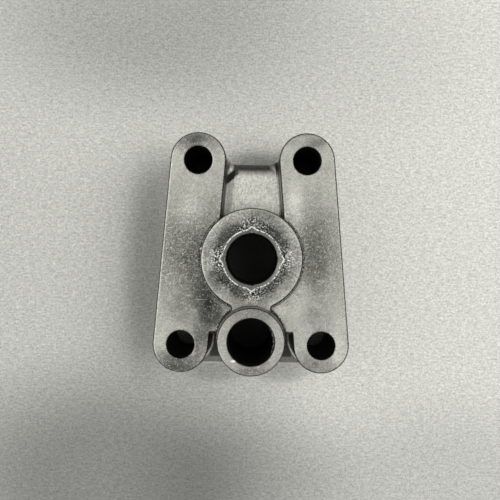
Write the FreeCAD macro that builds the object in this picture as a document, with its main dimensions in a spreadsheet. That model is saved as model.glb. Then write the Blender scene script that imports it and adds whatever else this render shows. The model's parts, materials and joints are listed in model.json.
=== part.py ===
import FreeCAD, Part
import math
import os
import re
import Sketcher

# Die cast housing, one aluminium casting. Millimetres, +Z up, base face on z = 0.
# The origin is the centre of the four-hole bolt pattern. The casting is symmetric about x = 0,
# and +Y points to the recessed end. Plan sizes are taken at the top of each wall, and every
# wall widens below that by the draft angle.

SIZES = {
    # bolt pattern: four through holes, one row at each end of the legs
    "hole_row_distance": 61.0,
    "upper_hole_spacing": 36.0,
    "lower_hole_spacing": 46.5,
    "bolt_hole_radius": 4.5,
    "hole_rim_chamfer": 0.3,
    # legs: two walls with round ends, each holding one upper and one lower hole
    "leg_radius": 9.2,
    "deck_height": 25.0,
    "draft_angle": 1.0,
    "leg_edge_chamfer": 0.4,
    # web between the legs: recess at one end, deck, then ledge at the other end, each wall
    # placed from the line of the two holes beside it
    "recess_wall_offset": 0.1,
    "recess_height": 18.0,
    "recess_edge_radius": 3.0,
    "deck_end_inset": 3.7,
    "deck_end_radius": 1.2,
    "ledge_height": 11.0,
    "ledge_inset": 0.2,
    "ledge_edge_radius": 0.5,
    "ledge_root_radius": 1.0,
    "ledge_side_radius": 0.8,
    # hollow blend between each leg and the web: slim along the recess, full at its outer corner
    "blend_radius": 1.0,
    "gusset_radius": 4.3,
    "blend_overlap": 0.02,
    "blend_fullness": 0.05,
    "blend_backing": 1.75,
    # main boss with its bearing bore
    "main_bore_place": 2.1,
    "main_bore_radius": 8.5,
    "boss_radius": 16.75,
    "boss_height": 26.5,
    "boss_edge_chamfer": 0.3,
    "boss_depth": 10.5,
    # tube with the small bore, set in from the line of the lower holes, on a shoulder that
    # flows into the boss
    "tube_inset": 2.0,
    "tube_bore_radius": 7.5,
    "tube_radius": 10.9,
    "tube_height": 31.0,
    "tube_edge_chamfer": 0.3,
    "shoulder_radius": 11.5,
    "neck_radius": 1.2,
    # mouths of the bores, the main one staked by four pointed notches
    "main_mouth_chamfer": 1.1,
    "tube_mouth_chamfer": 0.35,
    "notch_count": 4,
    "notch_reach": 10.6,
    "notch_base_radius": 9.0,
    "notch_half_width": 2.3,
    "notch_depth": 1.1,
    "notch_slope": 45.0,
    # underside: open chamber between the legs, one pocket in each leg
    "wall_thickness": 3.5,
    "rib_thickness": 3.0,
    "column_radius": 8.0,
    "chamber_ceiling": 14.0,
    "pocket_ceiling": 21.0,
    "sleeve_radius": 12.5,
    "sleeve_end": 8.0,
    "sleeve_chamfer": 0.5,
    "core_corner_radius": 2.5,
    "core_edge_chamfer": 0.8,
    # how far a core runs past the faces it opens, and a sleeve into the web above it
    "overrun": 1.0,
}

HALF_ROW = "hole_row_distance / 2"
UPPER_HOLE = "upper_hole_spacing / 2"
LOWER_HOLE = "lower_hole_spacing / 2"
LEG_TILT = "atan((lower_hole_spacing - upper_hole_spacing) / 2 / hole_row_distance)"
HALF_LEG = f"hole_row_distance / 2 / cos({LEG_TILT})"
RECESS_WALL = f"({HALF_ROW} + recess_wall_offset)"
DECK_END = f"({HALF_ROW} - deck_end_inset)"
TUBE_PLACE = f"-({HALF_ROW} - tube_inset)"
BORE_DISTANCE = f"({HALF_ROW} - tube_inset - main_bore_place)"

# lengths closer than this count as the same when an edge is looked for
SAME_LENGTH = 0.01

# sections that shape the turn of the recess blend, besides its first
BLEND_STEPS = 4

doc = FreeCAD.newDocument("die_cast_housing")


def make_sheet():
    """Spreadsheet with one aliased cell for each driving size."""
    sheet = doc.addObject("Spreadsheet::Sheet", "sizes")
    for row, (alias, number) in enumerate(SIZES.items(), start=1):
        sheet.set(f"A{row}", alias)
        sheet.set(f"B{row}", str(number))
        sheet.setAlias(f"B{row}", alias)
    doc.recompute()
    return sheet


SHEET = make_sheet()


def linked(formula):
    """Formula with each size name pointed at its cell."""
    return re.sub(r"[a-z_]+", lambda word: f"sizes.{word[0]}" if word[0] in SIZES else word[0], formula)


def value(formula):
    """Number that a formula gives with the sizes as they are."""
    result = SHEET.evalExpression(linked(formula))
    return getattr(result, "Value", result)


def bind(item, name, formula):
    """Tie one property of an object to a formula."""
    item.setExpression(name, linked(formula))


# ---------------------------------------------------------------- sketches and features


def new_body(name, y="0"):
    """Body whose origin lies on the centre line at the given place."""
    body = doc.addObject("PartDesign::Body", name)
    bind(body, "Placement.Base.y", y)
    return body


def new_leg_body(name):
    """Body in the right leg's own frame: origin midway between its holes, +Y along its axis."""
    body = doc.addObject("PartDesign::Body", name)
    bind(body, "Placement.Base.x", "(upper_hole_spacing + lower_hole_spacing) / 4")
    bind(body, "Placement.Rotation.Angle", LEG_TILT)
    return body


def new_sketch(body, name, role="XY_Plane", height="0"):
    """Sketch on one of the body's origin planes, moved along that plane's normal."""
    sketch = body.newObject("Sketcher::SketchObject", name)
    support = [feature for feature in body.Origin.OriginFeatures if feature.Role == role][0]
    sketch.AttachmentSupport = [(support, "")]
    sketch.MapMode = "FlatFace"
    bind(sketch, "AttachmentOffset.Base.z", height)
    return sketch


def constrain(sketch, kind, name, formula, *targets):
    """Dimension of a sketch, named and tied to a formula."""
    index = sketch.addConstraint(Sketcher.Constraint(kind, *targets, value(formula)))
    sketch.renameConstraint(index, name)
    bind(sketch, f"Constraints.{name}", formula)


def place_point(sketch, edge, end, x, y):
    """Fix one end (1, 2) or centre (3) of an edge by its two coordinates."""
    constrain(sketch, "DistanceX", f"x{edge}_{end}", x, -1, 1, edge, end)
    constrain(sketch, "DistanceY", f"y{edge}_{end}", y, -1, 1, edge, end)


def add_polygon(sketch, corners):
    """Closed outline of straight edges through corners given as formulas."""
    points = [FreeCAD.Vector(value(x), value(y), 0) for x, y in corners]
    count = len(points)
    for index, point in enumerate(points):
        sketch.addGeometry(Part.LineSegment(point, points[(index + 1) % count]), False)
    for index, (x, y) in enumerate(corners):
        sketch.addConstraint(Sketcher.Constraint("Coincident", index, 2, (index + 1) % count, 1))
        place_point(sketch, index, 1, x, y)


def add_rounded_polygon(sketch, corners, radius):
    """Closed outline of straight edges, counter-clockwise, with every corner rounded.

    The corners are kept as points that the straight edges pass through.
    """
    points = [FreeCAD.Vector(value(x), value(y), 0) for x, y in corners]
    count = len(points)
    size = value(radius)
    rounds = []
    for index, point in enumerate(points):
        back = (points[index - 1] - point).normalize()
        ahead = (points[(index + 1) % count] - point).normalize()
        half_angle = back.getAngle(ahead) / 2
        centre = point + (back + ahead).normalize() * (size / math.sin(half_angle))
        start = math.atan2(-back.x, back.y) - math.pi
        rounds.append((arc(centre, size, start, start + math.pi - 2 * half_angle), back, ahead))
    for index, (corner, back, ahead) in enumerate(rounds):
        following = rounds[(index + 1) % count][0]
        sketch.addGeometry(corner, False)
        sketch.addGeometry(Part.LineSegment(corner.EndPoint, following.StartPoint), False)
    for index in range(count):
        sketch.addConstraint(Sketcher.Constraint("Tangent", 2 * index, 2, 2 * index + 1, 1))
        following = 2 * ((index + 1) % count)
        sketch.addConstraint(Sketcher.Constraint("Tangent", 2 * index + 1, 2, following, 1))
        constrain(sketch, "Radius", f"round{index}", radius, 2 * index)
    for index, (x, y) in enumerate(corners):
        mark = sketch.addGeometry(Part.Point(points[index]), True)
        place_point(sketch, mark, 1, x, y)
        sketch.addConstraint(Sketcher.Constraint("PointOnObject", mark, 1, 2 * index + 1))
        sketch.addConstraint(Sketcher.Constraint("PointOnObject", mark, 1, (2 * index - 1) % (2 * count)))


def add_circle(sketch, x, y, radius):
    """Circle given by formulas."""
    centre = FreeCAD.Vector(value(x), value(y), 0)
    edge = sketch.addGeometry(Part.Circle(centre, FreeCAD.Vector(0, 0, 1), value(radius)), False)
    place_point(sketch, edge, 3, x, y)
    constrain(sketch, "Radius", f"radius{edge}", radius, edge)


def arc(centre, radius, start, end):
    """Arc of a circle in the sketch plane, counter-clockwise between two angles."""
    return Part.ArcOfCircle(Part.Circle(centre, FreeCAD.Vector(0, 0, 1), radius), start, end)


def pad(body, sketch, length, taper="0", downward=False):
    """Pad of a sketch; a positive taper widens it along the way."""
    feature = body.newObject("PartDesign::Pad", f"{sketch.Name}_pad")
    feature.Profile = sketch
    feature.Reversed = downward
    bind(feature, "Length", length)
    bind(feature, "TaperAngle", taper)
    sketch.Visibility = False
    doc.recompute()
    return feature


def edge_names(base, test):
    """Names of the edges of a feature that pass a test of edge and middle point."""
    names = []
    for index, edge in enumerate(base.Shape.Edges, start=1):
        middle = edge.valueAt((edge.FirstParameter + edge.LastParameter) / 2)
        if test(edge, middle):
            names.append(f"Edge{index}")
    return names


def fillet(body, base, name, radius, test):
    """Round the edges of a feature that pass a test."""
    feature = body.newObject("PartDesign::Fillet", name)
    feature.Base = (base, edge_names(base, test))
    bind(feature, "Radius", radius)
    doc.recompute()
    return feature


def chamfer(body, base, name, size, test):
    """Bevel the edges of a feature that pass a test."""
    feature = body.newObject("PartDesign::Chamfer", name)
    feature.Base = (base, edge_names(base, test))
    bind(feature, "Size", size)
    doc.recompute()
    return feature


def near(first, second):
    """True if two lengths are the same."""
    return abs(first - second) < SAME_LENGTH


def level(height):
    """Edge test: the whole edge lies at one height."""
    number = value(height)
    return lambda edge, middle: near(edge.BoundBox.ZMin, number) and near(edge.BoundBox.ZMax, number)


def crease(y, z):
    """Edge test: the edge runs along X through a point of the side profile."""
    return lambda edge, middle: near(middle.y, value(y)) and near(middle.z, value(z))


# ---------------------------------------------------------------- outer form


def drafted(place, depth):
    """Place of a drafted wall at a given depth below its top edge."""
    return f"{place} + ({depth}) * tan(draft_angle)"


def make_web():
    """Web between the legs, extruded from its side profile, with its rounded steps."""
    body = new_body("web")
    sketch = new_sketch(body, "web_profile", "YZ_Plane")
    ledge_place = drafted(f"{HALF_ROW} + leg_radius - ledge_inset", "deck_height - ledge_height")
    foot = f"-({drafted(DECK_END, 'deck_height - ledge_height')})"
    add_polygon(sketch, [
        (drafted(RECESS_WALL, "recess_height"), "0"),
        (RECESS_WALL, "recess_height"),
        ("-main_bore_place", "recess_height"),
        ("-main_bore_place", "deck_height"),
        (f"-{DECK_END}", "deck_height"),
        (foot, "ledge_height"),
        (f"-({ledge_place})", "ledge_height"),
        (f"-({drafted(ledge_place, 'ledge_height')})", "0"),
    ])
    block = pad(body, sketch, "lower_hole_spacing")
    block.Midplane = True
    doc.recompute()
    crest = crease(RECESS_WALL, "recess_height")
    edge = fillet(body, block, "recess_edge", "recess_edge_radius", crest)
    edge = fillet(body, edge, "deck_end_edge", "deck_end_radius", crease(f"-{DECK_END}", "deck_height"))
    edge = fillet(body, edge, "ledge_root", "ledge_root_radius", crease(foot, "ledge_height"))
    fillet(body, edge, "ledge_edge", "ledge_edge_radius", crease(f"-({ledge_place})", "ledge_height"))
    return body


def make_leg():
    """Right leg, drafted, with round ends about its holes and its top edge broken."""
    body = new_leg_body("leg")
    sketch = new_sketch(body, "leg_outline", height="deck_height")
    radius = value("leg_radius")
    reach = FreeCAD.Vector(0, value(HALF_LEG), 0)
    across = FreeCAD.Vector(radius, 0, 0)
    sketch.addGeometry(arc(reach, radius, 0, math.pi), False)
    sketch.addGeometry(Part.LineSegment(reach - across, -reach - across), False)
    sketch.addGeometry(arc(-reach, radius, math.pi, 2 * math.pi), False)
    sketch.addGeometry(Part.LineSegment(across - reach, across + reach), False)
    for edge in range(4):
        sketch.addConstraint(Sketcher.Constraint("Tangent", edge, 2, (edge + 1) % 4, 1))
    place_point(sketch, 0, 3, "0", HALF_LEG)
    place_point(sketch, 2, 3, "0", f"-{HALF_LEG}")
    constrain(sketch, "Radius", "round_end", "leg_radius", 0)
    block = pad(body, sketch, "deck_height", "draft_angle", downward=True)
    chamfer(body, block, "leg_edge", "leg_edge_chamfer", level("deck_height"))
    return body


def add_boss_outline(sketch):
    """Boss circle and shoulder circle, joined on both sides by a hollow neck arc."""
    big = value("boss_radius")
    small = value("shoulder_radius")
    neck = value("neck_radius")
    span = value(BORE_DISTANCE)
    foot = (span ** 2 + (big + neck) ** 2 - (small + neck) ** 2) / (2 * span)
    side = math.sqrt((big + neck) ** 2 - foot ** 2)
    lean = math.atan2(foot, side)
    dip = math.atan2(span - foot, side)
    tube = FreeCAD.Vector(0, -span, 0)
    left = FreeCAD.Vector(-side, -foot, 0)
    right = FreeCAD.Vector(side, -foot, 0)
    sketch.addGeometry(arc(FreeCAD.Vector(), big, -lean, math.pi + lean), False)
    sketch.addGeometry(arc(left, neck, -dip, lean), False)
    sketch.addGeometry(arc(tube, small, math.pi - dip, 2 * math.pi + dip), False)
    sketch.addGeometry(arc(right, neck, math.pi - lean, math.pi + dip), False)
    for first, first_end, second, second_end in ((0, 2, 1, 2), (1, 1, 2, 1), (2, 2, 3, 2), (3, 1, 0, 1)):
        sketch.addConstraint(Sketcher.Constraint("Tangent", first, first_end, second, second_end))
    place_point(sketch, 0, 3, "0", "0")
    place_point(sketch, 2, 3, "0", f"-{BORE_DISTANCE}")
    for edge, name in ((0, "boss_radius"), (1, "neck_radius"), (2, "shoulder_radius"), (3, "neck_radius")):
        constrain(sketch, "Radius", f"round{edge}", name, edge)


def make_boss():
    """Raised face about both bores, on a drafted foot that stands in the web."""
    body = new_body("boss", "-main_bore_place")
    sketch = new_sketch(body, "boss_outline", height="boss_height")
    add_boss_outline(sketch)
    block = pad(body, sketch, "boss_depth", "draft_angle", downward=True)
    chamfer(body, block, "boss_edge", "boss_edge_chamfer", level("boss_height"))
    return body


def make_tube():
    """Tube above the shoulder, with its rim rounded."""
    body = new_body("tube", TUBE_PLACE)
    sketch = new_sketch(body, "tube_outline", height="tube_height")
    add_circle(sketch, "0", "0", "tube_radius")
    block = pad(body, sketch, "tube_height - ledge_height", "draft_angle", downward=True)
    chamfer(body, block, "tube_edge", "tube_edge_chamfer", level("tube_height"))
    return body


def make_column():
    """Column that carries the tube down to the base face."""
    body = new_body("column", TUBE_PLACE)
    sketch = new_sketch(body, "column_outline", height="boss_height")
    add_circle(sketch, "0", "0", "shoulder_radius")
    block = pad(body, sketch, "boss_height", "draft_angle", downward=True)
    chamfer(body, block, "shoulder_edge", "boss_edge_chamfer", level("boss_height"))
    return body


def make_sleeve():
    """Bearing sleeve that hangs into the chamber below the boss."""
    body = new_body("sleeve", "-main_bore_place")
    sketch = new_sketch(body, "sleeve_outline", height="sleeve_end")
    add_circle(sketch, "0", "0", "sleeve_radius")
    block = pad(body, sketch, "boss_height - boss_depth + overrun - sleeve_end", "draft_angle")
    chamfer(body, block, "sleeve_edge", "core_edge_chamfer", level("sleeve_end"))
    return body


def wall_radius(z):
    """Radius of a leg's round end at one height."""
    return value("leg_radius") + (value("deck_height") - z) * math.tan(math.radians(value("draft_angle")))


def inner_wall(y, z):
    """X of the right leg's inner side, straight between the holes and round about the upper hole."""
    radius = wall_radius(z)
    tilt = math.radians(value(LEG_TILT))
    past_hole = y - value(HALF_ROW)
    if past_hole > radius * math.sin(tilt):
        return value(UPPER_HOLE) - math.sqrt(radius ** 2 - past_hole ** 2)
    return value(UPPER_HOLE) - past_hole * math.tan(tilt) - radius / math.cos(tilt)


def blend_section(y, z, lean, radius):
    """Closed outline across the blend, at a web point whose surface leans back by an angle.

    The lean is 0 on the upright recess wall and 90 degrees on the level recess floor. The outline is a
    hollow arc that touches web and leg, closed by straight edges that lie inside them.
    """
    out = FreeCAD.Vector(0, math.cos(lean), math.sin(lean))
    foot = FreeCAD.Vector(0, y, z)
    crest = foot + out * radius
    centre_x = inner_wall(crest.y, crest.z) - radius
    if crest.y > value(HALF_ROW) and lean == 0:
        reach = wall_radius(z) + radius
        centre_x = value(UPPER_HOLE) - math.sqrt(reach ** 2 - (crest.y - value(HALF_ROW)) ** 2)
        centre = FreeCAD.Vector(centre_x, crest.y, z)
        hole = FreeCAD.Vector(value(UPPER_HOLE), value(HALF_ROW), z)
        on_leg = centre + (hole - centre).normalize() * (radius + value("blend_overlap"))
    else:
        centre = FreeCAD.Vector(centre_x, crest.y, crest.z)
        on_leg = centre + FreeCAD.Vector(radius + value("blend_overlap"), 0, 0)
    on_web = centre - out * (radius + value("blend_overlap"))
    corner = ((on_leg - centre).normalize() + (on_web - centre).normalize()).normalize()
    middle = centre + corner * radius * (1 - value("blend_fullness"))
    depth = value("blend_backing")
    in_leg = on_leg + FreeCAD.Vector(depth, 0, 0)
    in_web = on_web - out * depth
    inside = FreeCAD.Vector(in_leg.x, in_web.y, in_web.z)
    return Part.Wire([
        Part.makeLine(inside, in_web),
        Part.makeLine(in_web, on_web),
        Part.Arc(on_web, middle, on_leg).toShape(),
        Part.makeLine(on_leg, in_leg),
        Part.makeLine(in_leg, inside),
    ])


def make_blend():
    """Hollow blend on the right side of the recess: strip, rounded corner and upright post."""
    floor = value("recess_height")
    edge = value("recess_edge_radius")
    wall = value(RECESS_WALL)
    slim = value("blend_radius")
    full = value("gusset_radius")
    draft = (floor - edge) * math.tan(math.radians(value("draft_angle")))
    turn = [math.pi / 2 * (1 - step / BLEND_STEPS) for step in range(BLEND_STEPS + 1)]
    corner = [
        blend_section(wall - edge + edge * math.cos(lean), floor - edge + edge * math.sin(lean), lean,
                      slim + (full - slim) * math.cos(lean))
        for lean in turn
    ]
    strip_start = blend_section(-value("main_bore_place"), floor, turn[0], slim)
    post_foot = blend_section(wall + draft, 0, 0, full - draft)
    pieces = [
        Part.makeLoft([strip_start, corner[0]], True, True),
        Part.makeLoft(corner, True, False),
        Part.makeLoft([corner[-1], post_foot], True, True),
    ]
    blend = doc.addObject("Part::Feature", "recess_blend")
    blend.Shape = pieces[0].fuse(pieces[1:]).removeSplitter()
    return blend


# ---------------------------------------------------------------- cores that hollow the casting


def leg_line(offset, y):
    """X of a line beside the right leg's axis, on the inner side, at one Y."""
    axis = f"{UPPER_HOLE} + tan({LEG_TILT}) * ({HALF_ROW} - ({y}))"
    return f"{axis} - ({offset}) / cos({LEG_TILT})"


def make_chamber():
    """Core of the open chamber between the legs, narrowing upwards."""
    body = new_body("chamber")
    sketch = new_sketch(body, "chamber_outline", height="-overrun")
    offset = "leg_radius - wall_thickness + rib_thickness"
    near_end = f"-({DECK_END} - wall_thickness)"
    far_end = f"{RECESS_WALL} - wall_thickness"
    add_rounded_polygon(sketch, [
        (leg_line(offset, near_end), near_end),
        (leg_line(offset, far_end), far_end),
        (f"-({leg_line(offset, far_end)})", far_end),
        (f"-({leg_line(offset, near_end)})", near_end),
    ], "core_corner_radius")
    block = pad(body, sketch, "chamber_ceiling + overrun", "-draft_angle")
    chamfer(body, block, "chamber_ceiling_edge", "core_edge_chamfer", level("chamber_ceiling"))
    return body


def make_leg_pocket():
    """Core of the right leg's pocket, between its two bolt columns."""
    body = new_leg_body("leg_pocket")
    sketch = new_sketch(body, "pocket_outline", height="-overrun")
    side = "leg_radius - wall_thickness"
    end = f"{HALF_LEG} - column_radius"
    add_rounded_polygon(sketch, [
        (side, f"-({end})"),
        (side, end),
        (f"-({side})", end),
        (f"-({side})", f"-({end})"),
    ], "core_corner_radius")
    block = pad(body, sketch, "pocket_ceiling + overrun", "-draft_angle")
    chamfer(body, block, "pocket_ceiling_edge", "core_edge_chamfer", level("pocket_ceiling"))
    return body


def make_bore(name, place, radius, bottom, top, lower_chamfer, upper_chamfer):
    """Turned core of one bore, with a chamfer at each mouth."""
    body = doc.addObject("PartDesign::Body", name)
    bind(body, "Placement.Base.x", place[0])
    bind(body, "Placement.Base.y", place[1])
    sketch = new_sketch(body, f"{name}_profile", "XZ_Plane")
    add_polygon(sketch, [
        ("0", f"{bottom} - overrun"),
        (f"{radius} + {lower_chamfer}", f"{bottom} - overrun"),
        (f"{radius} + {lower_chamfer}", bottom),
        (radius, f"{bottom} + {lower_chamfer}"),
        (radius, f"{top} - {upper_chamfer}"),
        (f"{radius} + {upper_chamfer}", top),
        (f"{radius} + {upper_chamfer}", f"{top} + overrun"),
        ("0", f"{top} + overrun"),
    ])
    turned = body.newObject("PartDesign::Revolution", f"{name}_turned")
    turned.Profile = sketch
    turned.ReferenceAxis = (sketch, ["V_Axis"])
    sketch.Visibility = False
    doc.recompute()
    return body


def make_notches():
    """Pointed notches staked into the mouth of the main bore, spread over the full circle."""
    body = new_body("notches", "-main_bore_place")
    sketch = new_sketch(body, "notch_outline", height="boss_height")
    add_polygon(sketch, [
        ("0", "0"),
        ("notch_base_radius", "-notch_half_width"),
        ("notch_reach", "0"),
        ("notch_base_radius", "notch_half_width"),
    ])
    block = pad(body, sketch, "notch_depth", "-notch_slope", downward=True)
    ring = body.newObject("PartDesign::PolarPattern", "notch_ring")
    ring.Originals = [block]
    ring.Axis = (sketch, ["N_Axis"])
    ring.Angle = 360
    ring.Occurrences = SIZES["notch_count"]
    body.Tip = ring
    doc.recompute()
    return body


# ---------------------------------------------------------------- casting


def mirrored(source):
    """Copy of a right-hand shape on the left side."""
    copy = doc.addObject("Part::Mirroring", f"left_{source.Name}")
    copy.Source = source
    copy.Normal = FreeCAD.Vector(1, 0, 0)
    return copy


def joined(name, shapes):
    """Union of several shapes."""
    union = doc.addObject("Part::MultiFuse", name)
    union.Shapes = shapes
    union.Refine = True
    doc.recompute()
    return union


def cut(name, base, tool):
    """One shape less another."""
    rest = doc.addObject("Part::Cut", name)
    rest.Base = base
    rest.Tool = tool
    rest.Refine = True
    doc.recompute()
    return rest


def side_rooted(block):
    """Block with the ledge rounded where it meets both legs."""
    at_ledge = level("ledge_height")
    rooted = doc.addObject("Part::Fillet", "rooted_block")
    rooted.Base = block
    rooted.Edges = [
        (index, value("ledge_side_radius"), value("ledge_side_radius"))
        for index, edge in enumerate(block.Shape.Edges, start=1)
        if at_ledge(edge, None) and not near(edge.BoundBox.YLength, 0)
    ]
    doc.recompute()
    return rooted


def make_casting():
    """Outer form, hollowed from below, with its bosses added and its bores cut."""
    leg = make_leg()
    blend = make_blend()
    block = joined("block", [make_web(), leg, mirrored(leg), blend, mirrored(blend), make_boss()])
    pocket = make_leg_pocket()
    shell = cut("shell", side_rooted(block), joined("cavity", [make_chamber(), pocket, mirrored(pocket)]))
    solid = joined("solid", [shell, make_tube(), make_column(), make_sleeve()])
    bolt = ("bolt_hole_radius", "0", "deck_height", "hole_rim_chamfer", "hole_rim_chamfer")
    upper = make_bore("upper_hole", (UPPER_HOLE, HALF_ROW), *bolt)
    lower = make_bore("lower_hole", (LOWER_HOLE, f"-{HALF_ROW}"), *bolt)
    main = make_bore("main_bore", ("0", "-main_bore_place"), "main_bore_radius", "sleeve_end", "boss_height",
                     "sleeve_chamfer", "main_mouth_chamfer")
    tube = make_bore("tube_bore", ("0", TUBE_PLACE), "tube_bore_radius", "0", "tube_height",
                     "tube_mouth_chamfer", "tube_mouth_chamfer")
    bores = joined("bores", [upper, mirrored(upper), lower, mirrored(lower), main, tube, make_notches()])
    casting = cut("casting", solid, bores)
    casting.Label = "cast_housing"
    return casting


def check(parts):
    """Stop if any object failed or any part is not a valid solid."""
    for item in doc.Objects:
        if "Invalid" in item.State or "Error" in item.State:
            raise RuntimeError(f"{item.Name} failed: {item.State}")
    for part in parts:
        if part.Shape.isNull() or not part.Shape.isValid():
            raise RuntimeError(f"{part.Label} is not a valid solid")


def export(parts):
    """Write one STEP file for each part."""
    os.makedirs("parts", exist_ok=True)
    for part in parts:
        part.Shape.exportStep(f"parts/{part.Label}.step")


PARTS = [make_casting()]
doc.recompute()
check(PARTS)
export(PARTS)
for part in PARTS:
    box = part.Shape.optimalBoundingBox()
    print(f"{part.Label}: {len(part.Shape.Solids)} solid, {len(part.Shape.Faces)} faces, "
          f"{part.Shape.Volume / 1000:.2f} cm3, {box.XLength:.2f} x {box.YLength:.2f} x {box.ZLength:.2f} mm")
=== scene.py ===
"""Looks of the die cast housing: finish of the casting, its burrs, the table, the lights and the camera."""

import json
import logging
import math
from dataclasses import dataclass
from enum import Enum

import bpy
import numpy as np
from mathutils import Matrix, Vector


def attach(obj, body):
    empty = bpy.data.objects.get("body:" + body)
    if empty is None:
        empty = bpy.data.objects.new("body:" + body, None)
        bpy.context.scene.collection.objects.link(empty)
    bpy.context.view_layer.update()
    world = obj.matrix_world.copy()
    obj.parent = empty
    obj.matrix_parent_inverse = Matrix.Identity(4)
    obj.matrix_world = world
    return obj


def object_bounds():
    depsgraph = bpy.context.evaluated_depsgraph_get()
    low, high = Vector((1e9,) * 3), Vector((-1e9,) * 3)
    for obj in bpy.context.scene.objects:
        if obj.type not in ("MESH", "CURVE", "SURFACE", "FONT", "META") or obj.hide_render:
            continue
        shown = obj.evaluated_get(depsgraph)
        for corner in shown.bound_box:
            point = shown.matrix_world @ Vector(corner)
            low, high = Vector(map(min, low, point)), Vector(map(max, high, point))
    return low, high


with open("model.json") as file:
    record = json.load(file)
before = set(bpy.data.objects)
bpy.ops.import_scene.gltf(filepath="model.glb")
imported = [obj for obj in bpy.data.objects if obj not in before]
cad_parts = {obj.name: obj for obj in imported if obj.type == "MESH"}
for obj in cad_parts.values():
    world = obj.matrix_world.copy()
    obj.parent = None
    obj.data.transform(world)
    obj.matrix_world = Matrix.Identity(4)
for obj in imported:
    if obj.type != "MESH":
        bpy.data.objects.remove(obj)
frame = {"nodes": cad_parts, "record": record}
CAD_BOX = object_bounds()

LOG = logging.getLogger("housing")
MILLIMETRE = 0.001
NODE = "cast_housing"
BODY = "root"
PATCH_EDGE = 1.35
PATCH_CORE = 0.35

Colour = tuple[float, float, float]
Point = tuple[float, float]
Place = tuple[float, float, float]


class Axis(Enum):
    """Coordinate of a vector."""

    X = "X"
    Y = "Y"
    Z = "Z"


class Signal:
    """Number or vector on a shader link. Python operators on a number add Math nodes."""

    def __init__(self, graph: "Graph", socket: bpy.types.NodeSocket) -> None:
        """Wrap one output socket of a graph."""
        self.graph = graph
        self.socket = socket

    def __add__(self, other: "Number") -> "Signal":
        """Sum."""
        return self.graph.math("ADD", self, other)

    def __sub__(self, other: "Number") -> "Signal":
        """Difference."""
        return self.graph.math("SUBTRACT", self, other)

    def __rsub__(self, other: "Number") -> "Signal":
        """Difference from a number."""
        return self.graph.math("SUBTRACT", other, self)

    def __mul__(self, other: "Number") -> "Signal":
        """Product."""
        return self.graph.math("MULTIPLY", self, other)

    def __truediv__(self, other: "Number") -> "Signal":
        """Quotient."""
        return self.graph.math("DIVIDE", self, other)

    def __abs__(self) -> "Signal":
        """Absolute value."""
        return self.graph.math("ABSOLUTE", self)

    __radd__ = __add__
    __rmul__ = __mul__

    def step(self, low: float, high: float) -> "Signal":
        """Smooth step from 0 at one value to 1 at another, in either direction.

        Args:
            low: Value at which the result is 0.
            high: Value at which the result is 1.

        Returns:
            The eased and clamped number.
        """
        ends = {"From Min": min(low, high), "From Max": max(low, high)}
        settings = {"interpolation_type": "SMOOTHSTEP"}
        node = self.graph.node("ShaderNodeMapRange", settings, {"Value": self, **ends})
        eased = Signal(self.graph, node.outputs["Result"])
        return eased if low < high else 1 - eased

    def band(self, low: float, high: float, soft: float) -> "Signal":
        """Mask of a range of values: 1 between its ends, easing to 0 over a soft margin outside them."""
        return self.step(low - soft, low) * self.step(high + soft, high)


Number = Signal | float


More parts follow.
